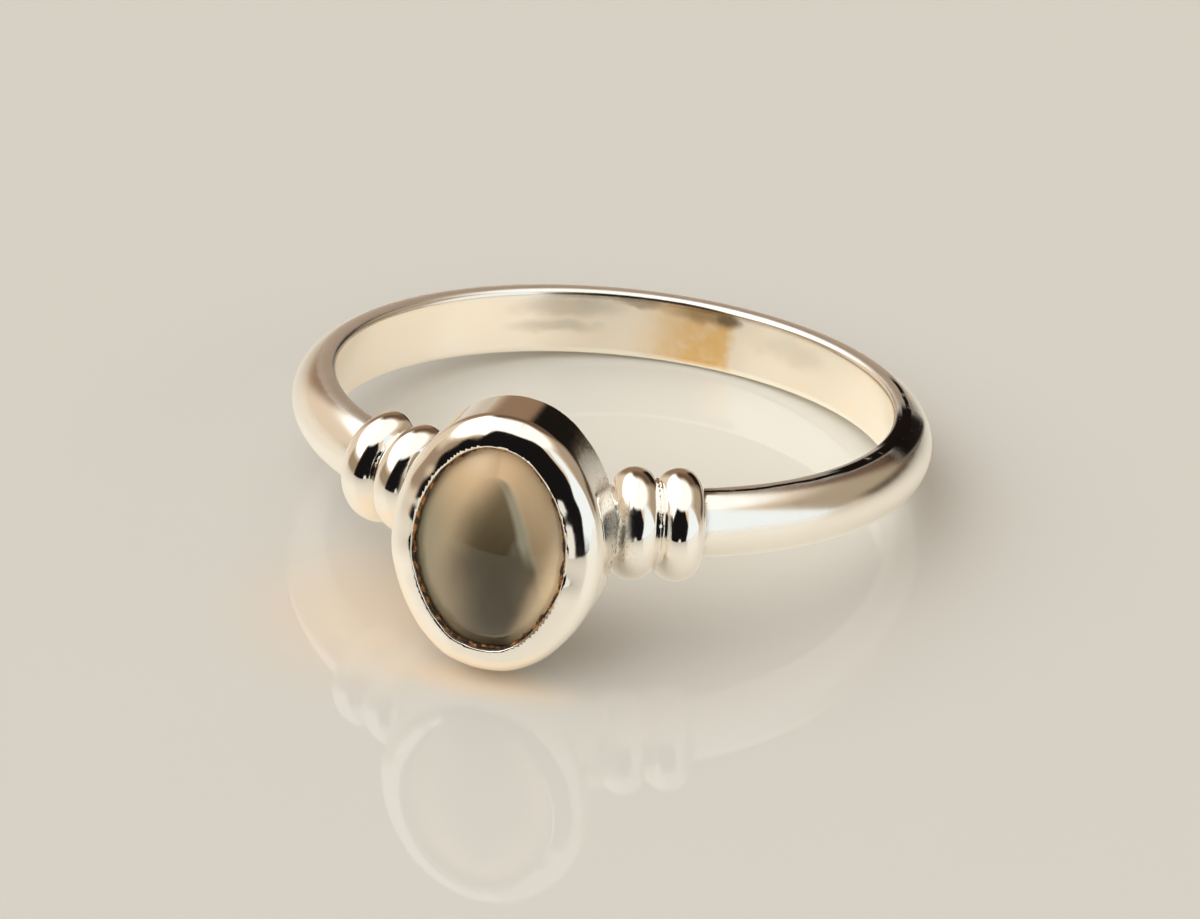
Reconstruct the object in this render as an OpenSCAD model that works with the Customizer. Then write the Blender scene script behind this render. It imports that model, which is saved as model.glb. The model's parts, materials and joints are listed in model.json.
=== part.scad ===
// Finger ring with an oval cabochon in a closed bezel cup, and two collars on each shoulder.
// It lies on its side: the back edge of the cup and the rear edge of the band touch z = 0.
// The cup faces -Y and +Z is up. Millimetres.

/* [Band] */
// Diameter of the finger hole, for a finger of about US size 8
bore_d = 18; // [16:0.1:21]
// Width of the band along the finger
band_w = 2.25; // [1.9:0.05:2.5]
// Thickness of the band at the crown of its domed outer face
band_t = 1.35; // [1.2:0.05:1.6]
// Depth of the flat side of the band, from the finger hole to the edge of the dome
side_flat = 0.45; // [0.35:0.05:0.55]
// Bevel along both inner edges of the band
inner_bevel = 0.15; // [0.05:0.05:0.25]

/* [Collars] */
// Radius of a collar at its crown
collar_r = 1.84; // [1.7:0.02:2.1]
// How far the axis of the collars lies outside the face of the finger hole
collar_out = 0.4; // [0.2:0.05:0.5]
// Width of one collar along the band
collar_w = 1.5; // [1.3:0.05:1.6]
// Radius of the rounding over a collar's crown
collar_round = 0.8; // [0.75:0.05:0.95]
// Distance between the two collars of a pair, from middle to middle
collar_step = 1.42; // [1.2:0.02:1.5]
// Angle around the finger from the middle of the bezel to the middle of the right pair
right_angle = 25; // [24:0.5:28]
// The same angle for the left pair, which sits a little further out
left_angle = 28; // [24:0.5:30]

/* [Bezel] */
// Width of the bezel around the finger
bezel_w = 6.85; // [6.6:0.05:7.2]
// Length of the bezel along the finger
bezel_l = 8.6; // [8.4:0.1:9]
// Radius of the outline at the two ends of the oval
bezel_end_r = 2.8; // [2.7:0.05:2.9]
// Distance from the face of the finger hole to the flat back of the cup
bezel_stand = 1.8; // [1.7:0.05:1.85]
// Height of the cup from its back to the crest of the lip
bezel_h = 2.8; // [2.7:0.02:2.9]
// Thickness of the wall beside the stone
wall_t = 0.35; // [0.3:0.01:0.4]
// Width of the lip, from the outside of the wall to its edge over the stone
lip_w = 0.9; // [0.8:0.05:0.95]
// Radius of the rounded crest of the lip
crest_r = 0.85; // [0.6:0.01:0.88]
// Thickness of the plate that closes the back of the cup
plate_t = 0.5; // [0.4:0.05:0.6]
// Radius of the short bar behind the cup, which joins it to the band and the collars
saddle_r = 1.5; // [1.45:0.05:1.7]

/* [Moonstone] */
// Gap between the stone and the cup around it and under it
seat_gap = 0.04; // [0.03:0.01:0.06]
// Height of the straight edge of the cabochon
girdle_h = 0.75; // [0.6:0.05:0.8]
// Height of the dome above that edge
dome_h = 1.9; // [1.7:0.05:2]

/* [Hidden] */
$fn = 96;

bore_r = bore_d / 2;
// Material left inside the finger hole until the hole is cut through everything at once
bore_spare = 0.2;
bore_cut_h = 12;
// Length of the wedges that part the arcs of the bezel, as a multiple of the reach of the oval's centres
wedge_reach = 6;
// Steps along the underside of the lip, which follows the dome of the stone
lip_steps = 6;
// Steps along each of the four arcs of the stone's outline, and up its dome
stone_steps = 14;
dome_steps = 11;

// The dome of the band is one arc through the edges of its flat sides and its crown.
dome_rise = band_t - side_flat;
dome_r = (dome_rise * dome_rise + band_w * band_w / 4) / (2 * dome_rise);
dome_centre = bore_r + band_t - dome_r;

// The outline of the bezel is a four-centred oval: two end arcs and two side arcs that meet in tangents.
bezel_a = bezel_w / 2;
bezel_b = bezel_l / 2;
end_centre = bezel_b - bezel_end_r;
bezel_side_r = (end_centre * end_centre + bezel_a * bezel_a - bezel_end_r * bezel_end_r)
             / (2 * (bezel_a - bezel_end_r));
side_centre = bezel_side_r - bezel_a;
// Direction in which an end arc passes into a side arc, from the cross axis of the oval
join_angle = atan2(end_centre, side_centre);
bezel_back = bore_r + bezel_stand;
// Distance from the middle of the finger hole to the axis of the collars and of the bar between them
collar_axis = bore_r + collar_out;

// Height of the top of the stone's straight edge above the back of the cup
stone_edge = plate_t + seat_gap + girdle_h;
// The underside of the lip runs clear of the dome from the wall to the lip's own edge.
lip_end_angle = acos((bezel_a - lip_w) / (bezel_a - wall_t));
lip_underside = [
    for (k = [0 : lip_steps])
        let(rise = k * lip_end_angle / lip_steps)
        [bezel_a - (bezel_a - wall_t) * cos(rise), stone_edge + (dome_h + 2 * seat_gap) * sin(rise)]
];

// The bar behind the cup bites into the first collar on each side.
saddle_bite = 0.4;
function saddle_reach(angle) =
    collar_axis * sin(angle) - (collar_step + collar_w) / 2 * cos(angle) + saddle_bite;

// How far the ring leans when the back edge of the cup and the rear edge of the band both touch the floor
rear_reach = bore_r + side_flat;
lean = atan2(bezel_b - band_w / 2, bezel_back + rear_reach);
bore_lift = rear_reach * sin(lean) + band_w / 2 * cos(lean);
// The origin lies under the middle of the whole ring, so the front and rear reaches are levelled out.
rear_end = dome_centre * cos(lean) + dome_r;
front_end = (bezel_back + bezel_h - crest_r) * cos(lean) + (bezel_b - crest_r) * sin(lean) + crest_r;
stone_end = (bezel_back + stone_edge) * cos(lean)
          + norm([dome_h * cos(lean), (bezel_b - wall_t - seat_gap) * sin(lean)]);
bore_shift = (max(front_end, stone_end) - rear_end) / 2;

// Leans the ring from its upright frame, where the finger hole runs along Z, onto the floor.
module laid_down() {
    translate([0, bore_shift, bore_lift])
        rotate([-lean, 0, 0])
            children();
}

// Turns a shape made on the cup's back, rising along Z, to face -Y at its place on the ring.
module on_bezel_back() {
    translate([0, -bezel_back, 0])
        rotate([90, 0, 0])
            children();
}

module band() {
    half_w = band_w / 2;
    bevel_end = half_w - inner_bevel - bore_spare;
    rotate_extrude() {
        polygon([
            [bore_r - bore_spare, -bevel_end],
            [bore_r + inner_bevel, -half_w],
            [bore_r + side_flat, -half_w],
            [bore_r + side_flat, half_w],
            [bore_r + inner_bevel, half_w],
            [bore_r - bore_spare, bevel_end]
        ]);
        intersection() {
            translate([dome_centre, 0])
                circle(r = dome_r);
            translate([dome_centre, -half_w])
                square([dome_r, band_w]);
        }
    }
}

// Half of a collar's section: X is the distance from its axis and Y runs along the band.
module collar_section() {
    intersection() {
        union() {
            translate([collar_r - collar_round, 0])
                circle(r = collar_round);
            translate([0, -collar_w / 2])
                square([collar_r - collar_round, collar_w]);
        }
        translate([0, -collar_w / 2])
            square([collar_r, collar_w]);
    }
}

// The two collars of one shoulder, turned about an axis just outside the face of the finger hole
module collar_pair(angle) {
    rotate([0, 0, angle])
        translate([0, -collar_axis, 0])
            rotate([0, 90, 0])
                rotate_extrude()
                    for (side = [-1, 1])
                        translate([0, side * collar_step / 2])
                            collar_section();
}

module saddle() {
    left = saddle_reach(left_angle);
    right = saddle_reach(right_angle);
    translate([-left, -collar_axis, 0])
        rotate([0, 90, 0])
            cylinder(r = saddle_r, h = left + right);
}

// Section of the wall and lip. X is the depth from the outside of the wall and Y the height from the back.
module wall_section() {
    difference() {
        intersection() {
            union() {
                square([lip_w, bezel_h - crest_r]);
                translate([crest_r, bezel_h - crest_r])
                    circle(r = crest_r);
            }
            square([lip_w, bezel_h]);
        }
        polygon(concat(
            [[wall_t, plate_t]],
            lip_underside,
            [[2 * lip_w, lip_underside[lip_steps].y], [2 * lip_w, plate_t]]
        ));
    }
}

// The wall turned all the way about one centre of the oval
module wall_turn(centre, radius) {
    translate(centre)
        rotate_extrude()
            translate([radius, 0])
                mirror([1, 0])
                    wall_section();
}

// The wedge that spreads from one centre of the oval, between the two lines on which its arc ends
module arc_wedge(centre, spread_1, spread_2) {
    linear_extrude(bezel_h)
        polygon([centre, centre + spread_1, centre + spread_2]);
}

// Each arc is the part of a full turn that lies in its wedge.
module bezel_wall() {
    spread = wedge_reach * [side_centre, end_centre];
    for (side = [-1, 1])
        intersection() {
            wall_turn([-side * side_centre, 0], bezel_side_r);
            arc_wedge([-side * side_centre, 0], [side * spread.x, -spread.y], [side * spread.x, spread.y]);
        }
    for (end = [-1, 1])
        intersection() {
            wall_turn([0, end * end_centre], bezel_end_r);
            arc_wedge([0, end * end_centre], [-spread.x, end * spread.y], [spread.x, end * spread.y]);
        }
}

// The oval outline, drawn in from the outside by a margin
module oval(margin) {
    end_r = bezel_end_r - margin;
    side_r = bezel_side_r - margin;
    join_y = end_centre + end_r * sin(join_angle);
    intersection() {
        translate([-side_centre, 0])
            circle(r = side_r);
        translate([side_centre, 0])
            circle(r = side_r);
        square([bezel_w, 2 * join_y], center = true);
    }
    for (end = [-1, 1])
        intersection() {
            translate([0, end * end_centre])
                circle(r = end_r);
            translate([0, end * (join_y + bezel_l / 2)])
                square([bezel_w, bezel_l], center = true);
        }
}

module back_plate() {
    linear_extrude(plate_t)
        oval(wall_t / 2);
}

module silver_mount() {
    color([0.86, 0.83, 0.79])
        laid_down()
            difference() {
                union() {
                    band();
                    collar_pair(right_angle);
                    collar_pair(-left_angle);
                    saddle();
                    on_bezel_back() {
                        bezel_wall();
                        back_plate();
                    }
                }
                translate([0, 0, -bore_cut_h / 2])
                    cylinder(r = bore_r, h = bore_cut_h);
            }
}

// A point on the oval outline, drawn in by a margin. The four arcs take the same number of steps each.
function arc_centre(arc) = [[-side_centre, 0], [0, end_centre], [side_centre, 0], [0, -end_centre]][arc];
function arc_half_angle(arc) = arc % 2 == 0 ? join_angle : 90 - join_angle;
function oval_point(step, margin) =
    let(
        arc = floor(step / stone_steps),
        part = 2 * (step % stone_steps) / stone_steps - 1,
        angle = 90 * arc + part * arc_half_angle(arc),
        radius = (arc % 2 == 0 ? bezel_side_r : bezel_end_r) - margin
    )
    arc_centre(arc) + radius * [cos(angle), sin(angle)];

// One ring of the cabochon at a height above its flat base, with its outline scaled about the middle
function stone_ring(size, height) = [
    for (step = [0 : 4 * stone_steps - 1])
        let(p = size * oval_point(step, wall_t + seat_gap))
        [p.x, p.y, height]
];

module moonstone() {
    sides = 4 * stone_steps;
    dome = [
        for (k = [0 : dome_steps - 1])
            let(rise = 90 * k / dome_steps)
            stone_ring(cos(rise), girdle_h + dome_h * sin(rise))
    ];
    rings = concat([stone_ring(1, 0)], dome);
    points = concat([for (ring = rings) each ring], [[0, 0, girdle_h + dome_h]]);
    apex = len(points) - 1;
    walls = [
        for (k = [0 : len(rings) - 2], i = [0 : sides - 1])
            let(next = (i + 1) % sides)
            [k * sides + i, (k + 1) * sides + i, (k + 1) * sides + next, k * sides + next]
    ];
    crown = [
        for (i = [0 : sides - 1])
            [apex - sides + i, apex, apex - sides + (i + 1) % sides]
    ];
    base = [[for (i = [0 : sides - 1]) i]];
    color([0.55, 0.52, 0.45])
        laid_down()
            on_bezel_back()
                translate([0, 0, plate_t + seat_gap])
                    polyhedron(points, concat(base, walls, crown));
}

silver_mount();
moonstone();
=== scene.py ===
"""The looks of a silver ring with a moonstone in a closed bezel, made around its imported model."""

import json
import math

import bpy
import numpy as np
from mathutils import Matrix, Vector


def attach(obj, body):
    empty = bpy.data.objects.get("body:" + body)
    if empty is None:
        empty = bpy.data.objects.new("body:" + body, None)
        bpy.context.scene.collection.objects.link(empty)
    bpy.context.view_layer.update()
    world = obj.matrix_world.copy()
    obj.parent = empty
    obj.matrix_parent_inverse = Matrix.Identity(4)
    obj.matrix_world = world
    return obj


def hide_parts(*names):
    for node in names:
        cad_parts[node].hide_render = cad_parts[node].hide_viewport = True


bl_info = {
    "name": "Moonstone Ring",
    "version": (1, 0, 0),
    "blender": (4, 5, 0),
    "location": "View3D > Sidebar > Ring",
    "description": "Makes a silver ring with ribbed shoulders and an oval moonstone, on a pale table top",
    "category": "Add Mesh",
}

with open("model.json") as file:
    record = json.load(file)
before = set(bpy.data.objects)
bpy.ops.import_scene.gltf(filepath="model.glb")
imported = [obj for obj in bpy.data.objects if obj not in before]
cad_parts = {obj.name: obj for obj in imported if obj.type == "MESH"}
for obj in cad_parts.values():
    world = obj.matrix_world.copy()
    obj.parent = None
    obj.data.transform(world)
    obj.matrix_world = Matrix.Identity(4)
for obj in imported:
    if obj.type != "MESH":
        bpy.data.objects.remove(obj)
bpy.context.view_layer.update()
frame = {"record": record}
MM = 0.001
# Added to a length before something is divided by it.
TINY = 1e-9

# The ring's own frame: the finger hole runs along Z, and the bezel faces -Y.
FINGER_HOLE = {mount["name"]: mount for mount in frame["record"]["mounts"]}["finger_bore"]
HOLE_R = FINGER_HOLE["dims"]["r_mm"] * MM
HOLE_CENTRE = Vector(FINGER_HOLE["pos_m"])
LEAN = math.atan2(FINGER_HOLE["axis"][1], FINGER_HOLE["axis"][2])
RING_TO_WORLD = Matrix.Translation(HOLE_CENTRE) @ Matrix.Rotation(-LEAN, 4, "X")


# Settings

def length(name, description, default):
    """A length property, given in millimetres."""
    return bpy.props.FloatProperty(
        name=name, description=description, default=default * MM, unit="LENGTH", precision=5, min=0.0
    )


def angle(name, description, default):
    """An angle property, given in degrees."""
    return bpy.props.FloatProperty(
        name=name, description=description, default=math.radians(default), subtype="ANGLE"
    )


def amount(name, description, default):
    """A plain number property from 0 to 1."""
    return bpy.props.FloatProperty(name=name, description=description, default=default, min=0.0, max=1.0)


def whole_number(name, description, default):
    """A whole number property."""
    return bpy.props.IntProperty(name=name, description=description, default=default, min=1)


def colour(name, description, default):
    """A linear colour property."""
    return bpy.props.FloatVectorProperty(
        name=name, description=description, default=default, size=3, min=0.0, max=1.0, subtype="COLOR"
    )


class MountSizes(bpy.types.PropertyGroup):
    """Sizes of the silver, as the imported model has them"""

    band_width: length("Band width", "Width of the band along the finger", 2.25)
    band_thickness: length("Band thickness", "Thickness of the band at the crown of its dome", 1.35)
    side_flat: length("Side flat", "Depth of the flat side of the band", 0.45)
    collar_radius: length("Collar radius", "Radius of a collar at its crown", 1.84)
    collar_out: length("Collar axis", "How far the collars' axis lies outside the finger hole's face", 0.4)
    collar_width: length("Collar width", "Width of one collar along the band", 1.5)
    collar_crown: length("Collar crown", "Radius of the rounding over a collar", 0.8)
    collar_step: length("Collar step", "Distance between the two collars of a pair", 1.42)
    right_angle: angle("Right pair", "Angle from the bezel to the right pair of collars", 25)
    left_angle: angle("Left pair", "Angle from the bezel to the left pair of collars", 28)
    bezel_width: length("Bezel width", "Width of the bezel around the finger", 6.85)
    bezel_length: length("Bezel length", "Length of the bezel along the finger", 8.6)
    bezel_end: length("Bezel end", "Radius of the outline at the ends of the oval", 2.8)
    bezel_stand: length("Bezel stand", "From the finger hole to the back of the cup", 1.8)
    bezel_height: length("Bezel height", "From the back of the cup to the crest of its lip", 2.8)
    wall: length("Wall", "Thickness of the cup's wall beside the stone", 0.35)
    lip: length("Lip", "Width of the lip, from the outside of the wall to its edge on the stone", 0.9)
    plate: length("Plate", "Thickness of the plate at the back of the cup", 0.5)
    saddle: length("Saddle", "Radius of the short bar behind the cup", 1.5)


class WorkSizes(bpy.types.PropertyGroup):
    """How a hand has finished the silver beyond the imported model, and how fine its mesh is"""

    crest: length("Crest", "Width over which the lip rounds into the outside of the wall", 0.56)
    slope: amount("Slope", "Steepness of the lip's face where it meets the stone", 0.14)
    camber: length("Camber", "Radius of the gently domed face of the lip", 2.0)
    flare: length("Flare", "How much wider the lip is on its right side than the wall below it", 0.2)
    crest_drop: length("Crest drop", "How far the domed face stays below the packed lip's crest", 0.03)
    waver: length("Waver", "How far the lip strays from a true oval", 0.05)
    nose: length("Nose", "Width of the rounding of the lip's edge on the stone", 0.09)
    edge: length("Edge", "Width of the rounding of the other edges", 0.07)
    hole_edge: length("Hole edge", "Width of the rounding of the finger hole's edges", 0.24)
    groove: length("Groove", "Width of the fillet beside each collar", 0.07)
    solder: length("Solder", "Width of the solder around the bar and the cup", 0.16)
    inset: length("Inset", "How far the whole surface stays inside the packed one", 0.004)
    cell: length("Cell", "Size of the mesh's faces", 0.0925)


class StoneSizes(bpy.types.PropertyGroup):
    """Sizes of the moonstone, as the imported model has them, and how fine its mesh is"""

    gap: length("Gap", "Gap between the stone and the cup", 0.04)
    girdle: length("Girdle", "Height of the straight edge of the stone", 0.75)
    dome: length("Dome", "Height of the dome above that edge", 1.9)
    segments: whole_number("Segments", "Faces around the stone", 160)
    rings: whole_number("Rings", "Faces from the base to the top", 96)


class SeamSizes(bpy.types.PropertyGroup):
    """Sizes of the dark residue along the seam between the lip and the stone"""

    corners: whole_number("Corners", "Corners of the path that the residue follows", 400)
    off_lip: length("Off the lip", "From the lip's edge to the path", 0.03)
    above_stone: length("Above the stone", "From the stone up to the path", 0.22)
    points: whole_number("Points", "Points along the bead of residue", 1100)
    bead: length("Bead", "Radius of the bead", 0.055)
    ragged: length("Raggedness", "How far the bead strays from the path", 0.26)
    crumbs: whole_number("Crumbs", "How many crumbs lie along the seam", 300)
    crumb: length("Crumb", "Largest radius of a crumb", 0.075)
    seed: whole_number("Seed", "Seed of everything random", 4)


class Finish(bpy.types.PropertyGroup):
    """Colours and polish"""

    silver: colour("Silver", "Colour of the polished silver", (0.975, 0.935, 0.865))
    silver_inside: colour("Silver, inside", "Colour of the duller silver in the band", (1.0, 0.905, 0.79))
    # This colour also serves for the grime and painted shade in the seams.
    tarnish_and_shade: colour("Tarnish", "Colour of the tarnish in the recesses", (0.012, 0.007, 0.005))
    amber: colour("Amber", "Colour of the amber stain inside the band", (0.92, 0.61, 0.27))
    # This colour also serves for the painted reflection of the cup's back inside the band.
    smudge_and_reflection: colour("Smudge", "Colour of the grey-brown smears inside the band", (0.20, 0.15, 0.11))
    residue: colour("Residue", "Colour of the residue round the stone", (0.03, 0.010, 0.003))
    residue_thin: colour("Residue, thin", "Colour of the residue where it is thin", (0.42, 0.17, 0.03))
    stone_mid: colour("Stone", "Colour of the body of the stone", (0.40, 0.31, 0.20))
    stone_pale: colour("Stone, top", "Colour of the pale upper part of the stone", (0.63, 0.46, 0.29))
    # Painted light: the glow stands in for light that has crossed the stone.
    stone_glow: colour("Stone, glow", "Colour of the glow along the lower right edge", (1.0, 0.80, 0.54))
    stone_core: colour("Stone, core", "Colour of the dark core of the stone", (0.028, 0.022, 0.006))
    stone_grey: colour("Stone, grey", "Colour of the grey-green left side of it", (0.212, 0.198, 0.13))
    # Painted sheen: the pale streak stands in for light on the stone.
    stone_sheen: colour("Stone, sheen", "Colour of the pale streak in the stone", (0.42, 0.42, 0.34))
    polish: amount("Polish", "Roughness of the polished silver", 0.06)
    satin: amount("Satin", "Roughness of the inside of the band", 0.21)
    wear: amount("Wear", "Roughness that wear adds to the outside of the band", 0.12)
    side_wear: amount("Side wear", "Roughness that wear adds to the sides of the band", 0.18)
    dullness: amount("Dullness", "Roughness that tarnish adds", 0.5)
    solder_grain: amount("Solder grain", "Roughness that the solder adds", 0.42)


class StageSizes(bpy.types.PropertyGroup):
    """The camera, the table top and the light"""

    azimuth: angle("Azimuth", "Camera's direction around the ring", 16.064)
    elevation: angle("Elevation", "Camera's height above the table", 28.761)
    roll: angle("Roll", "Camera's turn about its own line of sight", 2.861)
    distance: length("Distance", "From the camera to the point that it looks at", 541.675)
    aim_left: length("Aim left", "How far left of the finger hole's centre the camera looks", 0.341)
    aim_below: length("Aim below", "How far below the finger hole's centre the camera looks", 1.571)
    focal_px: bpy.props.FloatProperty(
        name="Focal length", description="Focal length in pixels of the picture", default=16783.5
    )
    width_px: whole_number("Picture width", "Width of the picture in pixels", 1200)
    table: length("Table", "From the ring to the far edges of the table top", 4000.0)
    table_front: length("Table front", "From the ring to the front edge of the table top", 37.0)
    table_colour: colour("Table colour", "Colour of the table top", (0.615, 0.605, 0.585))
    table_glow: colour("Table glow", "Light of the table where a piece mirrors it", (0.17, 0.155, 0.12))


class RingSettings(bpy.types.PropertyGroup):
    """Everything that the ring is made from"""

    mount: bpy.props.PointerProperty(type=MountSizes)
    work: bpy.props.PointerProperty(type=WorkSizes)
    stone: bpy.props.PointerProperty(type=StoneSizes)
    seam: bpy.props.PointerProperty(type=SeamSizes)
    finish: bpy.props.PointerProperty(type=Finish)
    stage: bpy.props.PointerProperty(type=StageSizes)


# The oval of the bezel

class Oval:
    """The bezel's outline: two end arcs and two side arcs that meet in tangents."""

    def __init__(self, sizes):
        half_w, half_l = sizes.bezel_width / 2, sizes.bezel_length / 2
        self.end_r = sizes.bezel_end
        self.end_centre = half_l - self.end_r
        self.side_r = (self.end_centre**2 + half_w**2 - self.end_r**2) / (2 * (half_w - self.end_r))
        self.side_centre = self.side_r - half_w
        self.spread = math.hypot(self.end_centre, self.side_centre)

    def join(self, margin):
        """Where the side arc passes into the end arc, with the outline drawn in by a margin."""
        reach = (self.end_r - margin) / self.spread
        return self.side_centre * reach, self.end_centre * (1 + reach)

    def outside(self, u, v):
        """How far points lie outside the outline."""
        u, v = np.abs(u), np.abs(v)
        at_end = (v - self.end_centre) * self.side_centre > u * self.end_centre
        end = np.hypot(u, v - self.end_centre) - self.end_r
        side = np.hypot(u + self.side_centre, v) - self.side_r
        return np.where(at_end, end, side)

    def radius(self, cos, sin, margin):
        """Distance from the middle to the drawn-in outline, in a direction."""
        cos, sin = np.abs(cos), np.abs(sin)
        side_room = (self.side_r - margin) ** 2 - (self.side_centre * sin) ** 2
        end_room = (self.end_r - margin) ** 2 - (self.end_centre * cos) ** 2
        side = np.sqrt(np.maximum(side_room, 0)) - self.side_centre * cos
        end = np.sqrt(np.maximum(end_room, 0)) + self.end_centre * sin
        join_u, join_v = self.join(margin)
        return np.where(sin * join_u > cos * join_v, end, side)


# The shape of the silver, as distances in the ring's frame

def soft_max(a, b, width):
    """The larger of two distances, with the edge between the two faces rounded over a width."""
    near = np.maximum(width - np.abs(a - b), 0) / width
    return np.maximum(a, b) + near * near * width / 4


def soft_min(a, b, width):
    """The smaller of two distances, with a fillet of that width between the two solids."""
    return -soft_max(-a, -b, width)


def soft_step(share):
    """A share, held between 0 and 1 and with a soft start and end."""
    share = np.clip(share, 0, 1)
    return share * share * (3 - 2 * share)


class SilverShape:
    """The distance to each part of the silver from points in the ring's frame, negative inside."""

    # How far the bar behind the cup reaches into a collar, and how much it is flattened along the finger.
    bite = 0.4 * MM
    squeeze = 1.4

    # The lip's waves around the oval, and how much of them its outside and its edge on the stone follow.
    waves = (
        # count, height, start
        (7, 0.22, 0.6),
        (12, 0.16, 2.4),
        (19, 0.12, 4.0),
    )
    outside_share = 0.3
    edge_share = 0.6

    # How soon the lip's flare fades away from its right side: 1 is slow, and 2 is quick.
    flare_fade = 1.5

    def __init__(self, settings):
        self.sizes = settings.mount
        self.work = settings.work
        self.stone = settings.stone
        self.oval = Oval(self.sizes)
        self.cup_back = HOLE_R + self.sizes.bezel_stand
        self.collar_axis = HOLE_R + self.sizes.collar_out
        self.collar_places = [
            (turn, side * self.sizes.collar_step / 2)
            for turn in (self.sizes.right_angle, -self.sizes.left_angle)
            for side in (-1, 1)
        ]

    def band(self, x, y, z):
        """A hoop with a domed outer face and flat sides."""
        s = self.sizes
        rise = s.band_thickness - s.side_flat
        dome_r = (rise**2 + s.band_width**2 / 4) / (2 * rise)
        depth = np.hypot(x, y) - HOLE_R
        dome = np.hypot(depth - (s.band_thickness - dome_r), z) - dome_r
        return soft_max(dome, np.abs(z) - s.band_width / 2, self.work.edge)

    def collar(self, x, y, z, turn, along):
        """A rounded wheel about an axis just outside the finger hole's face."""
        s = self.sizes
        cos, sin = math.cos(turn), math.sin(turn)
        run = x * cos + y * sin - along
        reach = np.hypot(y * cos - x * sin + self.collar_axis, z)
        bead = np.hypot(run, np.maximum(reach - (s.collar_radius - s.collar_crown), 0)) - s.collar_crown
        return soft_max(bead, np.abs(run) - s.collar_width / 2, self.work.edge)

    def collars(self, x, y, z):
        """All four collars, with a fine groove between neighbours."""
        near = None
        for turn, along in self.collar_places:
            one = self.collar(x, y, z, turn, along)
            near = one if near is None else soft_min(near, one, self.work.groove)
        return near

    def saddle(self, x, y, z):
        """The short bar behind the cup, from one shoulder to the other."""
        s = self.sizes
        half_pair = (s.collar_step + s.collar_width) / 2
        left, right = (
            self.collar_axis * math.sin(turn) - half_pair * math.cos(turn) + self.bite
            for turn in (s.left_angle, s.right_angle)
        )
        bar = np.hypot(y + self.collar_axis, self.squeeze * z) - s.saddle
        return np.maximum(bar, np.maximum(x - right, -x - left))

    def waver(self, u, v):
        """A slow wave around the oval, from 0 to 1, where a hand has pushed the lip over the stone."""
        turn = np.arctan2(v / self.sizes.bezel_length, u / self.sizes.bezel_width)
        return 0.5 + sum(height * np.sin(count * turn + start) for count, height, start in self.waves)

    def dome_height(self, u, v):
        """Height of the stone's surface above the back of the cup."""
        s, stone = self.sizes, self.stone
        far = np.hypot(u, v) + TINY
        share = far / self.oval.radius(u / far, v / far, s.wall + stone.gap)
        return s.plate + stone.gap + stone.girdle + stone.dome * np.sqrt(np.maximum(1 - share * share, 0))

    def cup(self, x, y, z):
        """The bezel: a plate, a wall around the stone and a rounded lip pushed over its edge."""
        s, work = self.sizes, self.work
        height = -y - self.cup_back
        waver = self.waver(x, z) * work.waver
        inward = -self.oval.outside(x, z) - self.outside_share * waver
        rightwards = np.clip(x / (np.hypot(x, z) + TINY), 0, 1)
        depth = inward + work.flare * rightwards**self.flare_fade * soft_step(height / s.bezel_height)
        outward = np.clip(s.lip - inward, 0, s.lip + work.flare)
        fall = outward * work.slope + outward**2 / (2 * work.camber)
        face = height - (s.bezel_height - work.crest_drop - waver - fall)
        body = np.maximum(soft_max(-depth, -height, work.edge), soft_max(-depth, face, work.crest))
        opening = np.where(height > s.plate, inward - s.lip - self.edge_share * waver, -s.wall)
        under_lip = height - self.dome_height(x, z) - self.stone.gap
        hollow = np.maximum(np.maximum(s.wall - inward, s.plate - height), under_lip)
        return np.maximum(soft_max(body, opening, work.nose), -hollow)

    def __call__(self, points):
        """The whole mount, soldered together and with the finger hole cut through."""
        work = self.work
        x, y, z = points[..., 0], points[..., 1], points[..., 2]
        shoulders = soft_min(self.band(x, y, z), self.collars(x, y, z), work.groove)
        shank = soft_min(shoulders, self.saddle(x, y, z), work.solder)
        solid = soft_min(shank, self.cup(x, y, z), work.solder)
        return soft_max(solid, HOLE_R - np.hypot(x, y), work.hole_edge) + work.inset

    def box(self):
        """A box in the ring's frame that holds the mount with a little room to spare."""
        s = self.sizes
        room = 0.3 * MM
        reach = HOLE_R + s.band_thickness + room
        front = self.cup_back + s.bezel_height + room
        half_length = s.bezel_length / 2 + room
        return np.array([-reach, -front, -half_length]), np.array([reach, reach, half_length])


# Meshing a distance

def slopes(distance, points, step=0.004 * MM):
    """How fast a distance grows along each axis at each point."""
    columns = []
    for axis in np.eye(3) * step:
        columns.append((distance(points + axis) - distance(points - axis)) / (2 * step))
    return np.stack(columns, -1)


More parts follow.
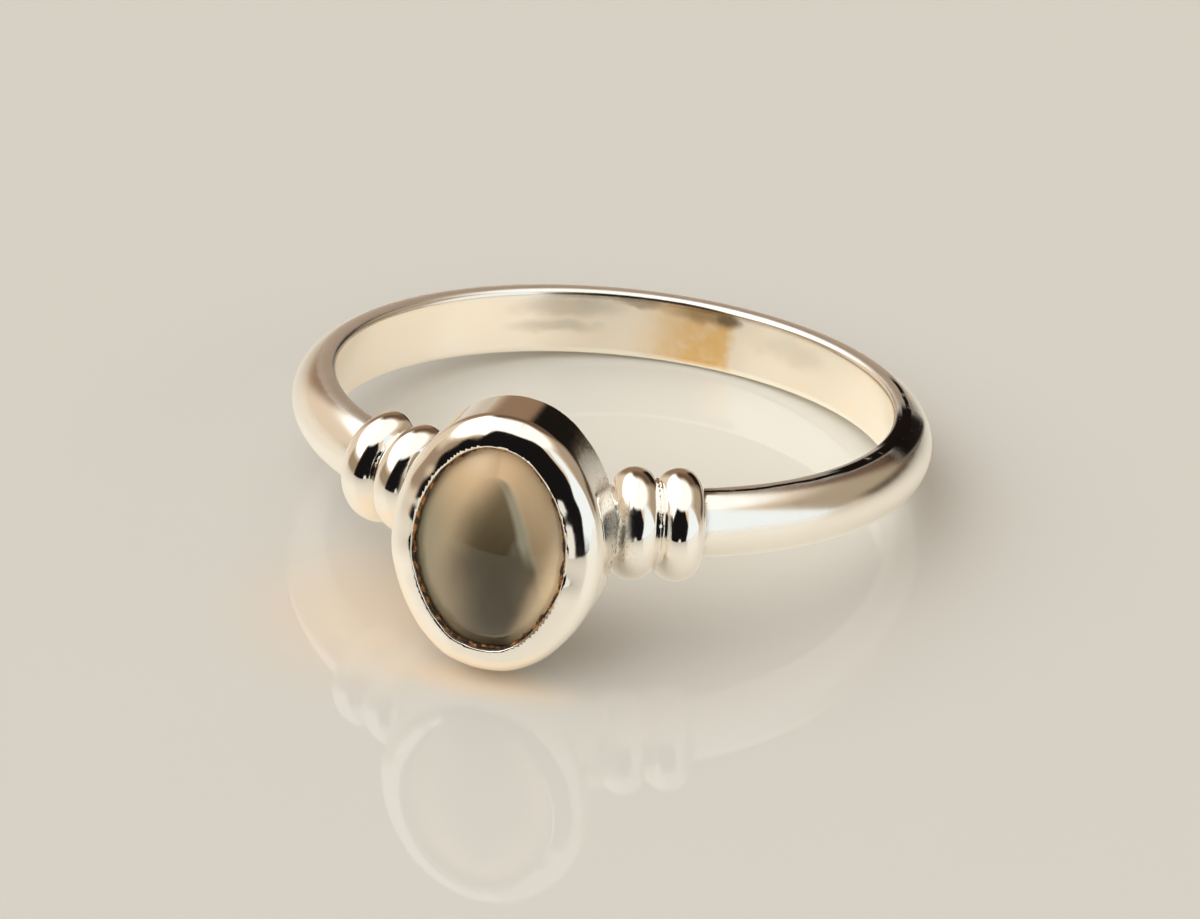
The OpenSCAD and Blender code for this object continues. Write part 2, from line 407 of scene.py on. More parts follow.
def surface(distance, low, high, cell):
    """Points and quads of the surface where a distance is zero, with a point in each cell it crosses."""
    axes = [np.arange(a, b + cell, cell) for a, b in zip(low, high)]
    value = np.empty([len(axis) for axis in axes])
    sheet = np.stack(np.meshgrid(axes[0][:1], axes[1], axes[2], indexing="ij"), -1)
    for layer, x in enumerate(axes[0]):
        sheet[..., 0] = x
        value[layer] = distance(sheet)[0]
    cells, crossings = [], []
    for axis in range(3):
        across, up = (axis + 1) % 3, (axis + 2) % 3
        near = [slice(None)] * 3
        far = [slice(None)] * 3
        near[axis], far[axis] = slice(None, -1), slice(1, None)
        first, last = value[tuple(near)], value[tuple(far)]
        edges = np.argwhere((first < 0) != (last < 0))
        start, end = first[tuple(edges.T)], last[tuple(edges.T)]
        crossing = edges.astype(float)
        crossing[:, axis] += start / (start - end)
        # Each crossed edge is shared by four cells, and the quad joins their four points.
        quad = []
        for step_across, step_up in ((0, 0), (-1, 0), (-1, -1), (0, -1)):
            corner = edges.copy()
            corner[:, across] += step_across
            corner[:, up] += step_up
            quad.append(np.ravel_multi_index(corner.T, value.shape))
        quad = np.stack(quad, 1)
        leaves = start > 0
        quad[leaves] = quad[leaves][:, ::-1]
        cells.append(quad.ravel())
        crossings.append(np.repeat(crossing, 4, axis=0))
    crossings = np.concatenate(crossings)
    _, index = np.unique(np.concatenate(cells), return_inverse=True)
    count = np.bincount(index)
    points = np.stack([np.bincount(index, crossings[:, k]) / count for k in range(3)], 1)
    return low + points * cell, index.reshape(-1, 4)


def settle(distance, points, reach, rounds):
    """Moves points onto the surface where a distance is zero, along its slope and not far in one round."""
    least_steepness = 0.05
    for _ in range(rounds):
        slope = slopes(distance, points)
        steepness = np.maximum((slope * slope).sum(-1), least_steepness)
        shift = slope * (-distance(points) / steepness)[:, None]
        size = np.linalg.norm(shift, axis=1, keepdims=True) + TINY
        points = points + shift * np.minimum(1, reach / size)
    return points


def relax(points, quads):
    """Moves each point halfway to the middle of its neighbours, which evens out the faces."""
    ends = np.concatenate([quads[:, [k, (k + 1) % 4]] for k in range(4)])
    ends = np.concatenate([ends, ends[:, ::-1]])
    count = np.bincount(ends[:, 0], minlength=len(points))
    middle = np.stack([np.bincount(ends[:, 0], points[ends[:, 1], k]) / count for k in range(3)], 1)
    return (points + middle) / 2


def mesh_of_distance(distance, low, high, cell):
    """The points, quads and normals of a smooth, even mesh over the surface where a distance is zero."""
    points, quads = surface(distance, low, high, cell)
    points = settle(distance, points, cell / 2, rounds=5)
    for _ in range(3):
        points = settle(distance, relax(points, quads), cell / 2, rounds=2)
    normals = slopes(distance, points)
    return points, quads, normals / np.linalg.norm(normals, axis=1, keepdims=True)


# Node helpers

def feed(tree, socket, value):
    """Sets a socket to a value, or links it if the value is an output."""
    if isinstance(value, bpy.types.NodeSocket):
        tree.links.new(value, socket)
    else:
        socket.default_value = value


def add(tree, kind, settings=None, **values):
    """A new node with its settings, and its inputs by name with _ for a space."""
    node = tree.nodes.new(kind)
    for name, value in (settings or {}).items():
        setattr(node, name, value)
    for name, value in values.items():
        feed(tree, node.inputs[name.replace("_", " ")], value)
    return node


def maths(tree, operation, *values):
    """One sum in a node tree. Each value is a number or the output of another node."""
    node = add(tree, "ShaderNodeMath", {"operation": operation})
    for socket, value in zip(node.inputs, values):
        feed(tree, socket, value)
    return node.outputs[0]


def chain(tree, operation, first, *others):
    """Several values taken into one, two at a time."""
    for value in others:
        first = maths(tree, operation, first, value)
    return first


def times(tree, *values):
    """The product of several values."""
    return chain(tree, "MULTIPLY", *values)


def largest(tree, *values):
    """The largest of several values."""
    return chain(tree, "MAXIMUM", *values)


def flat_length(tree, x, y):
    """The length of a flat vector."""
    return maths(tree, "SQRT", maths(tree, "ADD", times(tree, x, x), times(tree, y, y)))


def split(tree, vector):
    """The three parts of a vector."""
    return add(tree, "ShaderNodeSeparateXYZ", Vector=vector).outputs


def split_mm(tree, place):
    """The three parts of a place, in millimetres."""
    return [maths(tree, "DIVIDE", part, MM) for part in split(tree, place)]


def ramp(tree, value, low, high, out_low=0.0, out_high=1.0):
    """A value taken smoothly from one range to another, and held at its ends."""
    return add(
        tree, "ShaderNodeMapRange", {"interpolation_type": "SMOOTHSTEP"},
        Value=value, From_Min=low, From_Max=high, To_Min=out_low, To_Max=out_high,
    ).outputs[0]


def window(tree, value, low, high, soft):
    """1 between two values, falling to 0 over a soft edge outside them."""
    rise = ramp(tree, value, low - soft, low)
    fall = ramp(tree, value, high, high + soft, 1.0, 0.0)
    return times(tree, rise, fall)


def blot(tree, u, v, middle, half_size, soft):
    """1 inside an ellipse and 0 outside it, with a soft edge."""
    across = maths(tree, "DIVIDE", maths(tree, "SUBTRACT", u, middle[0]), half_size[0])
    up = maths(tree, "DIVIDE", maths(tree, "SUBTRACT", v, middle[1]), half_size[1])
    return ramp(tree, flat_length(tree, across, up), 1 - soft, 1 + soft, 1.0, 0.0)


def mix(tree, share, first, second, label=""):
    """Two colours mixed by a share."""
    node = add(tree, "ShaderNodeMix", {"data_type": "RGBA", "label": label}, Factor=share)
    colours = [socket for socket in node.inputs if socket.type == "RGBA"]
    for socket, value in zip(colours, (first, second)):
        feed(tree, socket, value if isinstance(value, bpy.types.NodeSocket) else (*value[:3], 1.0))
    return [socket for socket in node.outputs if socket.type == "RGBA"][0]


def noise(tree, coordinates, scale, detail, roughness):
    """Smooth noise from 0 to 1."""
    return add(
        tree, "ShaderNodeTexNoise", Vector=coordinates, Scale=scale, Detail=detail, Roughness=roughness
    ).outputs["Fac"]


def object_coordinates(tree):
    """The coordinates that the materials' noise reads."""
    return tree.nodes.new("ShaderNodeTexCoord").outputs["Object"]


def attribute(tree, name):
    """What is kept at each point of the mesh under a name: as a number, and as a vector."""
    outputs = add(tree, "ShaderNodeAttribute", {"attribute_name": name}).outputs
    return outputs["Fac"], outputs["Vector"]


def new_material(name):
    """An empty material and its tree."""
    material = bpy.data.materials.new(name)
    material.use_nodes = True
    material.node_tree.nodes.clear()
    return material, material.node_tree


def shade_with(tree, **values):
    """Ends a material in one Principled shader, with its inputs by name."""
    shader = add(tree, "ShaderNodeBsdfPrincipled", **values)
    add(tree, "ShaderNodeOutputMaterial", Surface=shader.outputs[0])


# The silver's material

# Stains on the inside of the band, and two patches of painted reflection. Their turns are degrees from the
# middle of its rear, and their heights millimetres along the finger. The smears are softly bounded
# ellipses.
SMUDGES_AND_REFLECTIONS = (
    # name, turn, height, half_turn, half_height, strength
    ("dark_spot", 7.2, 0.70, 2.6, 0.19, 0.88),
    ("brown_smear", 2.0, 0.66, 6.5, 0.26, 0.60),
    ("grey_corner", -11.5, 0.84, 5.0, 0.20, 0.55),
    # Painted reflection: the upper and lower patches are the cup's dark back, mirrored and blurred in the
    # band.
    ("upper_bezel_reflection", -27.0, 0.52, 9.0, 0.34, 0.34),
    ("lower_bezel_reflection", -29.0, -0.14, 8.0, 0.20, 0.30),
    ("faint_right", 24.0, 0.30, 7.0, 0.40, 0.16),
)
# The amber stain: the turns over which it fades in and out, and its height as from, to and softness.
AMBER_IN = (-14.0, 0.0)
AMBER_OUT = (7.5, 10.0)
AMBER_HEIGHT = (-0.9, 0.85, 0.3)
# Tarnish on the upper side of the band's right end, where the polish never reached. Turns are degrees from
# the bezel and depths millimetres from the finger hole's face, each as from, to and softness. The depth
# sways, and a noise breaks the mark up: from its low value to its high one it goes from least to whole.
SIDE_TARNISH = (
    # name, turns, depths, sway, noise, (low, high, least)
    ("patch", (88.0, 103.0, 7.0), (0.16, 0.95, 0.12), 0.0, "grain", (0.22, 0.34, 0.0)),
    ("tail", (68.0, 106.0, 10.0), (0.30, 0.56, 0.10), 0.0, "patches", (0.30, 0.42, 0.0)),
    ("thin_line", (34.0, 122.0, 8.0), (0.42, 0.52, 0.05), 0.14, "patches", (0.25, 0.45, 0.45)),
)
# Where that side lies along the finger, in millimetres: from, to and softness.
UPPER_SIDE = (0.80, 1.3, 0.12)


class SilverPoint:
    """What is known at a point of the silver, as node outputs."""

    def __init__(self, tree):
        # Its place, in millimetres and degrees.
        x, y, z = split_mm(tree, attribute(tree, "ring_place")[1])
        self.depth = maths(tree, "SUBTRACT", flat_length(tree, x, y), HOLE_R / MM)
        self.height = z
        self.from_bezel = maths(tree, "DEGREES", maths(tree, "ARCTAN2", x, times(tree, y, -1.0)))
        self.from_rear = maths(tree, "DEGREES", maths(tree, "ARCTAN2", x, y))
        self.inside = ramp(tree, self.depth, 0.0, 0.05, 1.0, 0.0)
        # Its noise, from fine to slow, with the slowest one on both sides of 0.
        coordinates = object_coordinates(tree)
        self.noise = {
            "grain": noise(tree, coordinates, 9000.0, 4.0, 0.6),
            "patches": noise(tree, coordinates, 1500.0, 4.0, 0.6),
        }
        self.sway = maths(tree, "SUBTRACT", noise(tree, coordinates, 700.0, 3.0, 0.6), 0.5)
        # How deep it lies in a groove, and in solder.
        self.groove = attribute(tree, "groove")[0]
        self.solder = attribute(tree, "solder")[0]


def swayed(tree, at, reach, value):
    """A value with its edges moved by the slow noise."""
    return maths(tree, "MULTIPLY_ADD", at.sway, reach, value)


def clean_silver(tree, finish, at):
    """The silver's colour: bright outside, and duller inside the band with an amber stain, smears and a
    painted reflection.
    """
    turn = swayed(tree, at, 9.0, at.from_rear)
    height = swayed(tree, at, 0.7, at.height)
    clouded = times(tree, at.inside, ramp(tree, at.sway, -0.14, 0.14, 0.45, 1.0))
    shade = mix(tree, clouded, finish.silver, finish.silver_inside)
    amber = times(
        tree, at.inside, ramp(tree, turn, *AMBER_IN), ramp(tree, turn, *AMBER_OUT, 1.0, 0.0),
        window(tree, height, *AMBER_HEIGHT), ramp(tree, at.noise["patches"], 0.2, 0.6, 0.6, 1.0),
    )
    shade = mix(tree, amber, shade, finish.amber)
    for name, spot_turn, spot_height, half_turn, half_height, strength in SMUDGES_AND_REFLECTIONS:
        spot = blot(tree, turn, height, (spot_turn, spot_height), (half_turn, half_height), 0.6)
        shade = mix(tree, times(tree, at.inside, spot, strength), shade, finish.smudge_and_reflection, name)
    return shade


def side_tarnish(tree, at):
    """How dark each mark is on the side of the band's right end."""
    turn = swayed(tree, at, 8.0, at.from_bezel)
    side = window(tree, at.height, *UPPER_SIDE)
    marks = {}
    for name, turns, depths, sway, broken_by, (low, high, least) in SIDE_TARNISH:
        across = window(tree, swayed(tree, at, sway, at.depth), *depths)
        broken = ramp(tree, at.noise[broken_by], low, high, least)
        marks[name] = times(tree, window(tree, turn, *turns), side, across, broken)
    return marks


def silver_roughness(tree, finish, at, dark):
    """How rough the silver is: polished, and duller where it is satin, worn, dark or soldered."""
    worn = ramp(tree, at.noise["patches"], 0.2, 0.8, finish.polish * 0.6, finish.polish * 1.5)
    matt = ramp(tree, at.depth, 0.0, 0.28, 1.0, 0.0)
    past_collars = ramp(tree, maths(tree, "ABSOLUTE", at.from_bezel), 34.0, 38.0)
    outer_band = times(tree, past_collars, ramp(tree, at.depth, 0.06, 0.16))
    side_face = times(tree, ramp(tree, maths(tree, "ABSOLUTE", at.height), 1.02, 1.10), outer_band)
    rough = worn
    for share, more in (
        (matt, finish.satin - finish.polish),
        (outer_band, finish.wear),
        (side_face, finish.side_wear),
        (dark, finish.dullness),
        (at.solder, finish.solder_grain),
    ):
        rough = maths(tree, "MULTIPLY_ADD", share, more, rough)
    return rough


def silver_relief(tree, at, sunk):
    """The fine unevenness of the silver outside the finger hole, with its sunken marks."""
    uneven = maths(tree, "MULTIPLY_ADD", at.noise["grain"], 0.10, times(tree, at.noise["patches"], 0.5))
    relief = maths(tree, "SUBTRACT", uneven, times(tree, sunk, 1.2))
    relief = times(tree, relief, ramp(tree, at.inside, 0.0, 1.0, 1.0, 0.0))
    return add(tree, "ShaderNodeBump", Strength=0.25, Distance=0.02 * MM, Height=relief).outputs[0]


def silver_material(finish):
    """Polished silver, satin inside the band, with stains, a painted reflection, a tarnished side and grime
    and painted shade in its seams.
    """
    material, tree = new_material("polished_silver")
    at = SilverPoint(tree)
    marks = side_tarnish(tree, at)
    pits = times(tree, at.solder, ramp(tree, at.noise["grain"], 0.52, 0.62), 0.8)
    # Grime and painted shade: the seams between parts are darkened, broken up by noise.
    grime_and_shade = times(tree, at.groove, ramp(tree, at.noise["patches"], 0.30, 0.62))
    dark = largest(tree, *marks.values(), pits, grime_and_shade)
    shade_with(
        tree,
        Base_Color=mix(tree, dark, clean_silver(tree, finish, at), finish.tarnish_and_shade),
        Metallic=1.0,
        Roughness=silver_roughness(tree, finish, at, dark),
        Normal=silver_relief(tree, at, largest(tree, pits, marks["patch"], marks["tail"])),
    )
    return material


# The other materials

# Where the stone's tones lie on its face, which goes from -0.5 to 0.5 across and up.
CORE_MIDDLE = (0.075, -0.23)
CORE_HALF_SIZE = (0.23, 0.30)
DARK_REFLECTION_POINT = (0.01, 0.32)
# The painted dark reflection is a drop that widens as the square root of the depth below its point:
# how fast, to the right and to the left.
DARK_REFLECTION_RIGHT = 0.43
DARK_REFLECTION_LEFT = 0.36
# The direction across the face towards the painted glow.
GLOW_TOWARDS = (0.92, -0.40)


def stone_colour(tree, finish, u, v):
    """Grey-beige, paler above and darker in its core, with a painted dark reflection, painted sheen and
    painted glow.
    """
    left_side = ramp(tree, u, -0.5, -0.08, 1.0, 0.0)
    shade = mix(tree, left_side, finish.stone_mid, finish.stone_grey)
    upper = times(tree, ramp(tree, v, 0.06, 0.46), ramp(tree, u, 0.02, 0.20, 1.0, 0.35))
    shade = mix(tree, upper, shade, finish.stone_pale)
    core = blot(tree, u, v, CORE_MIDDLE, CORE_HALF_SIZE, 0.8)
    shade = mix(tree, times(tree, core, 0.93), shade, finish.stone_core)

    # Painted reflection: a dark drop with a sharp right edge, where the dome mirrors the dark side of the
    # room.
    root = maths(tree, "SQRT", maths(tree, "MAXIMUM", maths(tree, "SUBTRACT", DARK_REFLECTION_POINT[1], v), 0.0))
    side = maths(tree, "SUBTRACT", u, DARK_REFLECTION_POINT[0])
    past_edge = maths(tree, "MULTIPLY_ADD", root, -DARK_REFLECTION_RIGHT, side)
    right = ramp(tree, past_edge, -0.025, 0.012, 1.0, 0.0)
    left = ramp(tree, maths(tree, "MULTIPLY_ADD", root, DARK_REFLECTION_LEFT, side), -0.08, 0.16)
    drop = times(tree, right, left, ramp(tree, v, -0.26, -0.02), 0.72)
    shade = mix(tree, drop, shade, finish.stone_core)

    # A painted pale streak of sheen follows the drop's sharp right edge.
    along_edge = window(tree, past_edge, -0.035, -0.012, 0.035)
    streak = times(tree, along_edge, window(tree, v, 0.08, 0.22, 0.14), 0.5)
    shade = mix(tree, streak, shade, finish.stone_sheen)

    # Painted light: the colour is lightened along the lower right edge, standing in for light that has
    # crossed the stone.
    towards_glow = maths(tree, "MULTIPLY_ADD", v, GLOW_TOWARDS[1], times(tree, u, GLOW_TOWARDS[0]))
    return mix(tree, ramp(tree, towards_glow, 0.245, 0.44), shade, finish.stone_glow)


def stone_material(finish):
    """A translucent stone with a polished skin."""
    material, tree = new_material("moonstone_body")
    across, up, _ = split(tree, add(tree, "ShaderNodeUVMap", {"uv_map": "face"}).outputs[0])
    cloud = maths(tree, "SUBTRACT", noise(tree, object_coordinates(tree), 420.0, 3.0, 0.55), 0.5)
    u = maths(tree, "MULTIPLY_ADD", cloud, 0.07, maths(tree, "SUBTRACT", across, 0.5))
    v = maths(tree, "MULTIPLY_ADD", cloud, -0.05, maths(tree, "SUBTRACT", up, 0.5))
    shade_with(
        tree,
        Base_Color=stone_colour(tree, finish, u, v),
        Roughness=0.4,
        IOR=1.52,
        Specular_IOR_Level=0.15,
        Subsurface_Weight=0.6,
        Subsurface_Radius=(1.0, 0.8, 0.6),
        Subsurface_Scale=1.0 * MM,
        Coat_Weight=1.0,
        Coat_Roughness=0.03,
        Coat_IOR=1.52,
    )
    return material


def residue_material(finish):
    """Dark polishing residue that has dried in the seam, amber where it is thin."""
    material, tree = new_material("dried_residue")
    thin = ramp(tree, noise(tree, object_coordinates(tree), 5000.0, 4.0, 0.6), 0.46, 0.70)
    shade_with(tree, Base_Color=mix(tree, thin, finish.residue, finish.residue_thin), Roughness=0.45)
    return material


# Light that the silver throws down on the table, in millimetres from the frame's origin.
GLINTS = (
    # middle, half_size, softness, strength, colour
    ((0.5, 2.6), (8.6, 8.2), 0.30, 0.42, (0.84, 0.82, 0.74)),
    ((3.4, 7.6), (4.2, 3.4), 0.80, 0.55, (0.84, 0.82, 0.74)),
    ((0.1, -11.7), (2.4, 0.85), 0.70, 0.38, (0.86, 0.60, 0.34)),
    ((-4.2, -8.6), (3.4, 3.8), 0.80, 0.40, (0.83, 0.59, 0.35)),
)
# How far the table's colour drifts, as a share of it.
TABLE_DRIFT = 0.015


def table_material(stage):
    """A pale sheet with a hard gloss, and the light that the silver throws down on it."""
    material, tree = new_material("pale_gloss")
    place = object_coordinates(tree)
    darker, paler = (
        [min(1, part * (1 + drift)) for part in stage.table_colour] for drift in (-TABLE_DRIFT, TABLE_DRIFT)
    )
    shade = mix(tree, noise(tree, place, 14.0, 2.0, 0.5), darker, paler)
    x, y, _ = split_mm(tree, place)
    for middle, half_size, soft, strength, glint in GLINTS:
        lit = times(tree, blot(tree, x, y, middle, half_size, soft), strength)
        shade = mix(tree, lit, shade, glint)
    mirrored = tree.nodes.new("ShaderNodeLightPath").outputs["Is Glossy Ray"]
    shade_with(
        tree,
        Base_Color=shade,
        Emission_Color=mix(tree, mirrored, (0, 0, 0), stage.table_glow),
        Emission_Strength=1.0,
        Roughness=0.5,
        Specular_IOR_Level=0.2,
        Coat_Weight=0.75,
        Coat_Roughness=0.03,
        Coat_IOR=1.4,
    )
    return material


# Pieces

def mesh_object(name, mesh, material, smooth=True):
    """An object at the origin that shows a mesh, smooth and with one material."""
    mesh.materials.clear()
    mesh.materials.append(material)
    mesh.polygons.foreach_set("use_smooth", [smooth] * len(mesh.polygons))
    piece = bpy.data.objects.new(name, mesh)
    bpy.context.scene.collection.objects.link(piece)
    return piece


def keep(mesh, name, kind, values):
    """Keeps a number or a vector at each point of a mesh, for the materials."""
    layer = mesh.attributes.new(name, kind, "POINT")
    part = "vector" if kind == "FLOAT_VECTOR" else "value"
    layer.data.foreach_set(part, np.asarray(values, np.float32).ravel())


def seam_masks(shape, points):
    """How deep points lie in a seam of the silver, and in the solder beside the cup, from 0 to 1."""
    groove_reach = 0.07 * MM
    solder_edge = 0.1 * MM
    solder_by_collar = 0.2 * MM
    solder_by_bar = 0.7 * MM
    solder_on_cup = 1.0 * MM
    solder_top = 1.9 * MM
    solder_top_soft = 0.4 * MM
    solder_strength = 1.3
    hole_soft = 0.05 * MM

    x, y, z = points.T
    outside_hole = np.clip((np.hypot(x, y) - HOLE_R) / hole_soft, 0, 1)
    cup = np.abs(shape.cup(x, y, z))
    collars, saddle = np.abs(shape.collars(x, y, z)), np.abs(shape.saddle(x, y, z))
    shoulder = np.minimum(collars, saddle)
    parts = np.stack([np.abs(shape.band(x, y, z)), shoulder, cup])
    second_nearest = np.sort(parts, axis=0)[1]
    # This mask darkens the seams between parts with grime and painted shade.
    groove = np.exp(-second_nearest / groove_reach) * outside_hole
    below_lip = np.clip((solder_top + y + shape.cup_back) / solder_top_soft, 0, 1)
    on_collar = np.exp(-cup / solder_by_collar - collars / solder_edge)
    on_bar = np.exp(-cup / solder_by_bar - saddle / solder_edge)
    on_cup = np.exp(-cup / solder_edge - shoulder / solder_on_cup) * below_lip
    solder = np.maximum(np.maximum(on_collar, on_bar), on_cup) * outside_hole
    return {"groove": groove, "solder": np.clip(solder_strength * solder, 0, 1)}


class RING_OT_silver_mount(bpy.types.Operator):
    """Make the silver: band, collars and bezel as one soldered piece"""

    bl_idname = "ring.silver_mount"
    bl_label = "Silver mount"

    def execute(self, context):
        settings = context.scene.moonstone_ring
        shape = SilverShape(settings)
        points, quads, normals = mesh_of_distance(shape, *shape.box(), settings.work.cell)
        turn = np.array(RING_TO_WORLD.to_3x3())
        placed = points @ turn.T + np.array(HOLE_CENTRE)
        mesh = bpy.data.meshes.new("silver_mount_body")
        mesh.from_pydata(placed.tolist(), [], quads.tolist())
        keep(mesh, "ring_place", "FLOAT_VECTOR", points)
        for name, values in seam_masks(shape, points).items():
            keep(mesh, name, "FLOAT", values)
        piece = mesh_object("silver_mount_body", mesh, silver_material(settings.finish))
        mesh.normals_split_custom_set_from_vertices((normals @ turn.T).tolist())
        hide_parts("silver_mount")
        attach(piece, "root")
        return {"FINISHED"}


# Geometry Nodes trees

def new_tree(name, inputs):
    """An empty Geometry Nodes tree with named inputs and one geometry to give back, and its inputs."""
    tree = bpy.data.node_groups.new(name, "GeometryNodeTree")
    for label, kind in inputs:
        tree.interface.new_socket(label, in_out="INPUT", socket_type="NodeSocket" + kind)
    tree.interface.new_socket("Geometry", in_out="OUTPUT", socket_type="NodeSocketGeometry")
    return tree, tree.nodes.new("NodeGroupInput").outputs


def end_tree(tree, geometry, material):
    """Ends a tree in real geometry that has its material."""
    real = add(tree, "GeometryNodeRealizeInstances", Geometry=geometry)
    dressed = add(tree, "GeometryNodeSetMaterial", Geometry=real.outputs[0], Material=material)
    add(tree, "NodeGroupOutput", Geometry=dressed.outputs[0])


def grown(name, start, tree, values):
    """The plain mesh that a Geometry Nodes tree makes from the mesh that it starts with."""
    seed = bpy.data.objects.new(start.name, start)
    bpy.context.scene.collection.objects.link(seed)
    modifier = seed.modifiers.new("grow", "NODES")
    modifier.node_group = tree
    for item in tree.interface.items_tree:
        if item.in_out == "INPUT" and item.name in values:
            modifier[item.identifier] = values[item.name]
    graph = bpy.context.evaluated_depsgraph_get()
    mesh = bpy.data.meshes.new_from_object(seed.evaluated_get(graph), depsgraph=graph)
    mesh.name = name
    seed.modifiers.remove(modifier)
    bpy.data.objects.remove(seed)
    return mesh


def cabochon_tree(oval, margin):
    """Geometry Nodes that press a ball into a cabochon: a flat base, a straight edge and a dome."""
    tree, inputs = new_tree("cabochon", (
        ("Segments", "Int"), ("Rings", "Int"), ("Girdle", "Float"), ("Dome", "Float"),
        ("Material", "Material"),
    ))
    ball = add(
        tree, "GeometryNodeMeshUVSphere", Segments=inputs["Segments"], Rings=inputs["Rings"], Radius=1.0
    )
    x, y, z = split(tree, tree.nodes.new("GeometryNodeInputPosition").outputs[0])
    flat = flat_length(tree, x, y)
    far = maths(tree, "MAXIMUM", flat, 1e-6)
    cos, sin = maths(tree, "DIVIDE", x, far), maths(tree, "DIVIDE", y, far)
    cos_size, sin_size = maths(tree, "ABSOLUTE", cos), maths(tree, "ABSOLUTE", sin)

    def arc(radius, centre, toward, aside, sign):
        """Distance from the middle to one arc of the oval."""
        off_axis = times(tree, aside, centre)
        room = maths(tree, "SUBTRACT", radius * radius, times(tree, off_axis, off_axis))
        root = maths(tree, "SQRT", maths(tree, "MAXIMUM", room, 0.0))
        return maths(tree, "MULTIPLY_ADD", toward, sign * centre, root)

    side = arc(oval.side_r - margin, oval.side_centre, cos_size, sin_size, -1)
    end = arc(oval.end_r - margin, oval.end_centre, sin_size, cos_size, 1)
    join_u, join_v = oval.join(margin)
    at_end = maths(tree, "GREATER_THAN", times(tree, sin_size, join_u), times(tree, cos_size, join_v))
    outline = maths(tree, "MULTIPLY_ADD", at_end, maths(tree, "SUBTRACT", end, side), side)

    # The lower half of the ball is the straight edge down to half its depth, and the flat base below that.
    edge_depth = 0.5
    edge_flat = math.cos(math.asin(edge_depth))
    below = maths(tree, "MINIMUM", maths(tree, "DIVIDE", flat, edge_flat), 1.0)
    under = maths(tree, "LESS_THAN", z, 0.0)
    share = maths(tree, "MULTIPLY_ADD", under, maths(tree, "SUBTRACT", below, flat), flat)
    reach = times(tree, share, outline)
    sunk = maths(tree, "MULTIPLY_ADD", maths(tree, "MINIMUM", z, 0.0), 1 / edge_depth, 1.0)
    dome_rise = times(tree, maths(tree, "MAXIMUM", z, 0.0), inputs["Dome"])
    height = maths(tree, "MULTIPLY_ADD", maths(tree, "MAXIMUM", sunk, 0.0), inputs["Girdle"], dome_rise)
    x, y = times(tree, reach, cos), times(tree, reach, sin)
    moved = add(tree, "ShaderNodeCombineXYZ", X=x, Y=y, Z=height)
    pressed = add(tree, "GeometryNodeSetPosition", Geometry=ball.outputs["Mesh"], Position=moved.outputs[0])
    end_tree(tree, pressed.outputs[0], inputs["Material"])
    return tree


def map_face(mesh, span):
    """Keeps where each corner lies across and up the face of the stone, from 0 to 1."""
    places = np.empty(len(mesh.vertices) * 3)
    mesh.vertices.foreach_get("co", places)
    corners = np.empty(len(mesh.loops), int)
    mesh.loops.foreach_get("vertex_index", corners)
    across = places.reshape(-1, 3)[corners, :2]
    layer = mesh.uv_layers.new(name="face")
    layer.data.foreach_set("uv", (across / span + 0.5).ravel())


class RING_OT_moonstone(bpy.types.Operator):
    """Make the moonstone: an oval cabochon that sits in the bezel"""

    bl_idname = "ring.moonstone"
    bl_label = "Moonstone"

    def execute(self, context):
        settings = context.scene.moonstone_ring
        sizes, stone = settings.mount, settings.stone
        material = stone_material(settings.finish)
        margin = sizes.wall + stone.gap
        tree = cabochon_tree(Oval(sizes), margin)
        mesh = grown("moonstone_cabochon", bpy.data.meshes.new("stone_seed"), tree, {
            "Segments": stone.segments, "Rings": stone.rings, "Girdle": stone.girdle, "Dome": stone.dome,
            "Material": material,
        })
        map_face(mesh, np.array([sizes.bezel_width, sizes.bezel_length]) - 2 * margin)
        seat = -(HOLE_R + sizes.bezel_stand + sizes.plate + stone.gap)
        cup_to_ring = Matrix.Translation((0, seat, 0)) @ Matrix.Rotation(math.radians(90), 4, "X")
        mesh.transform(RING_TO_WORLD @ cup_to_ring)
        piece = mesh_object("moonstone_cabochon", mesh, material)
        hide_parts("moonstone")
        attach(piece, "root")
        return {"FINISHED"}


